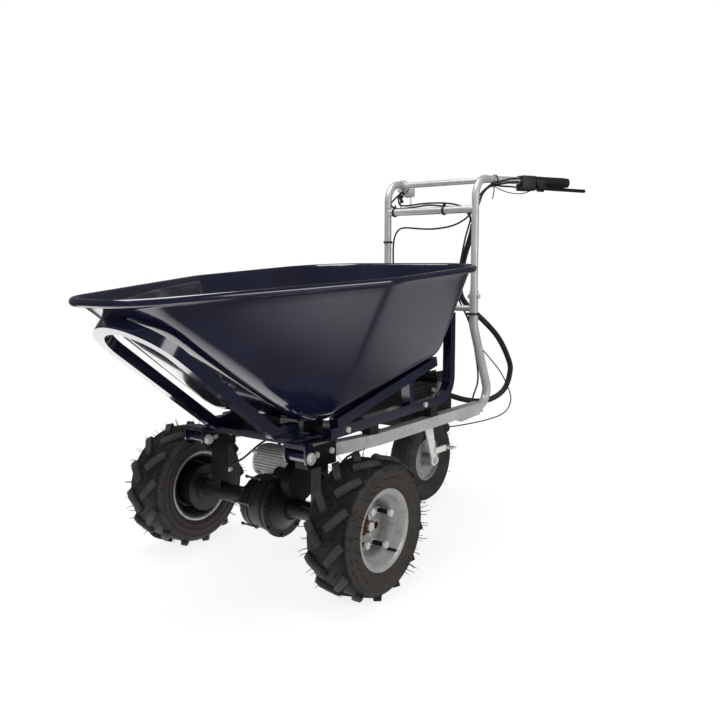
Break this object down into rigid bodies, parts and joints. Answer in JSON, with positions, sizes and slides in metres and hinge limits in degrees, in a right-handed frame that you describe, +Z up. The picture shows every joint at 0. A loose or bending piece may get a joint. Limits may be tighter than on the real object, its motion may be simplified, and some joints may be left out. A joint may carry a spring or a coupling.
{
  "type": "concrete buggy",
  "caption": "Battery-driven tipping barrow with a steel tub on front pivots, a driven differential axle, a swivelling rear caster and flared handles with brake levers.",
  "frame": {"origin": "on the floor below the middle of the bounding box", "axes": "+Z up, the tub lip faces -Y, the handles reach to +Y, +X is the right-hand side seen from behind"},
  "size_m": [0.7, 1.5619, 1.0016],
  "materials": {
    "navy_paint": "gloss",
    "silver_paint": "satin",
    "black_paint": "satin",
    "zinc": "bright",
    "cast_iron": "matt",
    "alloy": "cast",
    "wheel_grey": "satin",
    "tyre": "matt",
    "rubber": "matt",
    "black_plastic": "matt",
    "grey_plastic": "gloss",
    "red_plastic": "gloss"
  },
  "bodies": {
    "chassis": {"chassis_rails": "silver_paint", "deck_plates": "silver_paint", "lower_posts": "silver_paint", "handle_frame": "silver_paint", "handle_crossbars": "silver_paint", "frame_bolts": "zinc", "axle_hangers": "black_paint", "pivot_sleeves": "zinc", "axle_tubes": "cast_iron", "diff_housing": "cast_iron", "gear_case": "black_paint", "motor_housing": "alloy", "axle_bearings": "zinc", "backing_plates": "black_paint", "brake_shoes": "cast_iron", "caster_plate": "zinc", "battery_box": "black_plastic", "controller_box": "black_plastic", "rest_pads": "rubber", "buzzer": "black_plastic", "grip_right": "rubber", "lever_perches": "black_plastic", "switch_box": "black_plastic", "throttle_housing": "grey_plastic", "conduit": "rubber", "control_cables": "rubber", "cable_ties": "rubber"},
    "tub": {"tub_shell": "navy_paint", "tub_hoop": "navy_paint", "tub_cross_plate": "navy_paint", "tub_side_frames": "navy_paint", "tub_bolts": "zinc"},
    "wheel_left": {"tyre_left": "tyre", "rim_left": "wheel_grey", "hub_left": "cast_iron", "wheel_nuts_left": "zinc", "half_shaft_left": "zinc"},
    "wheel_right": {"tyre_right": "tyre", "rim_right": "wheel_grey", "hub_right": "cast_iron", "wheel_nuts_right": "zinc", "half_shaft_right": "zinc"},
    "ring_gear": {"diff_carrier": "cast_iron"},
    "idler": {"idler_gear": "cast_iron"},
    "motor_rotor": {"rotor": "cast_iron"},
    "caster": {"caster_fork": "zinc", "caster_axle": "zinc"},
    "caster_wheel": {"caster_tyre": "tyre", "caster_rim": "wheel_grey"},
    "pedal": {"caster_pedal": "zinc"},
    "lever_left": {"brake_lever_left": "black_paint"},
    "lever_right": {"brake_lever_right": "black_paint"},
    "arm_left": {"brake_arm_left": "zinc"},
    "arm_right": {"brake_arm_right": "zinc"},
    "throttle": {"throttle_grip": "rubber"},
    "key_body": {"key": "zinc"},
    "horn": {"horn_button": "red_plastic"},
    "rocker": {"direction_rocker": "black_plastic"},
    "latch": {"latch_hook": "zinc"}
  },
  "joints": [
    {"name": "tub_tip", "type": "hinge", "parent": "chassis", "child": "tub", "pos_m": [0, -0.3725, 0.307], "axis": [1, 0, 0], "range_deg": [0, 70]},
    {"name": "wheel_left_spin", "type": "hinge", "parent": "chassis", "child": "wheel_left", "pos_m": [-0.292, -0.3005, 0.158], "axis": [1, 0, 0], "continuous": true},
    {"name": "wheel_right_spin", "type": "hinge", "parent": "chassis", "child": "wheel_right", "pos_m": [0.292, -0.3005, 0.158], "axis": [1, 0, 0], "continuous": true},
    {"name": "ring_gear_spin", "type": "hinge", "parent": "chassis", "child": "ring_gear", "pos_m": [0, -0.3005, 0.158], "axis": [1, 0, 0], "continuous": true},
    {"name": "idler_spin", "type": "hinge", "parent": "chassis", "child": "idler", "pos_m": [0.04, -0.29036, 0.22524], "axis": [1, 0, 0], "continuous": true},
    {"name": "rotor_spin", "type": "hinge", "parent": "chassis", "child": "motor_rotor", "pos_m": [0, -0.2405, 0.24], "axis": [1, 0, 0], "continuous": true},
    {"name": "caster_swivel", "type": "hinge", "parent": "chassis", "child": "caster", "pos_m": [0, 0.3345, 0.276], "axis": [0, 0, 1], "continuous": true},
    {"name": "caster_wheel_spin", "type": "hinge", "parent": "caster", "child": "caster_wheel", "pos_m": [0, 0.3795, 0.132], "axis": [1, 0, 0], "continuous": true},
    {"name": "caster_brake_pedal", "type": "hinge", "parent": "caster", "child": "pedal", "pos_m": [0.05, 0.3835, 0.162], "axis": [-1, 0, 0], "range_deg": [0, 20]},
    {"name": "brake_lever_left", "type": "hinge", "parent": "chassis", "child": "lever_left", "pos_m": [-0.26174, 0.63993, 0.96221], "axis": [0.6413, 0.3755, -0.6691], "range_deg": [0, 7], "stiffness_Nm_per_rad": 3, "springref_deg": -5.73},
    {"name": "brake_lever_right", "type": "hinge", "parent": "chassis", "child": "lever_right", "pos_m": [0.26174, 0.63993, 0.96221], "axis": [0.6413, -0.3755, 0.6691], "range_deg": [0, 7], "stiffness_Nm_per_rad": 3, "springref_deg": -5.73},
    {"name": "brake_arm_left", "type": "hinge", "parent": "chassis", "child": "arm_left", "pos_m": [-0.212, -0.2705, 0.19], "axis": [1, 0, 0], "range_deg": [0, 7]},
    {"name": "brake_arm_right", "type": "hinge", "parent": "chassis", "child": "arm_right", "pos_m": [0.212, -0.2705, 0.19], "axis": [1, 0, 0], "range_deg": [0, 7]},
    {"name": "throttle_twist", "type": "hinge", "parent": "chassis", "child": "throttle", "pos_m": [-0.27373, 0.70013, 0.9845], "axis": [-0.5053, 0.863, 0], "range_deg": [0, 60], "stiffness_Nm_per_rad": 0.5, "springref_deg": -11.46},
    {"name": "key_turn", "type": "hinge", "parent": "chassis", "child": "key_body", "pos_m": [-0.20543, 0.62307, 0.9645], "axis": [0, 0, -1], "range_deg": [0, 90]},
    {"name": "horn_press", "type": "slide", "parent": "chassis", "child": "horn", "axis": [0.863, -0.5053, 0], "range_m": [0, 0.0025], "stiffness_N_per_m": 300, "springref_m": -0.002},
    {"name": "direction_switch", "type": "hinge", "parent": "chassis", "child": "rocker", "pos_m": [0.21308, 0.63019, 0.9645], "axis": [0, 0, 1], "range_deg": [-8, 8]},
    {"name": "tub_latch", "type": "hinge", "parent": "chassis", "child": "latch", "pos_m": [0.136, 0.2315, 0.328], "axis": [1, 0, 0], "range_deg": [0, 25]}
  ],
  "couplings": [
    {"joint": "idler_spin", "follows": "ring_gear_spin", "ratio": -3.8571},
    {"joint": "rotor_spin", "follows": "ring_gear_spin", "ratio": 12.857},
    {"joint": "brake_arm_left", "follows": "brake_lever_left", "ratio": 1},
    {"joint": "brake_arm_right", "follows": "brake_lever_right", "ratio": 1}
  ]
}
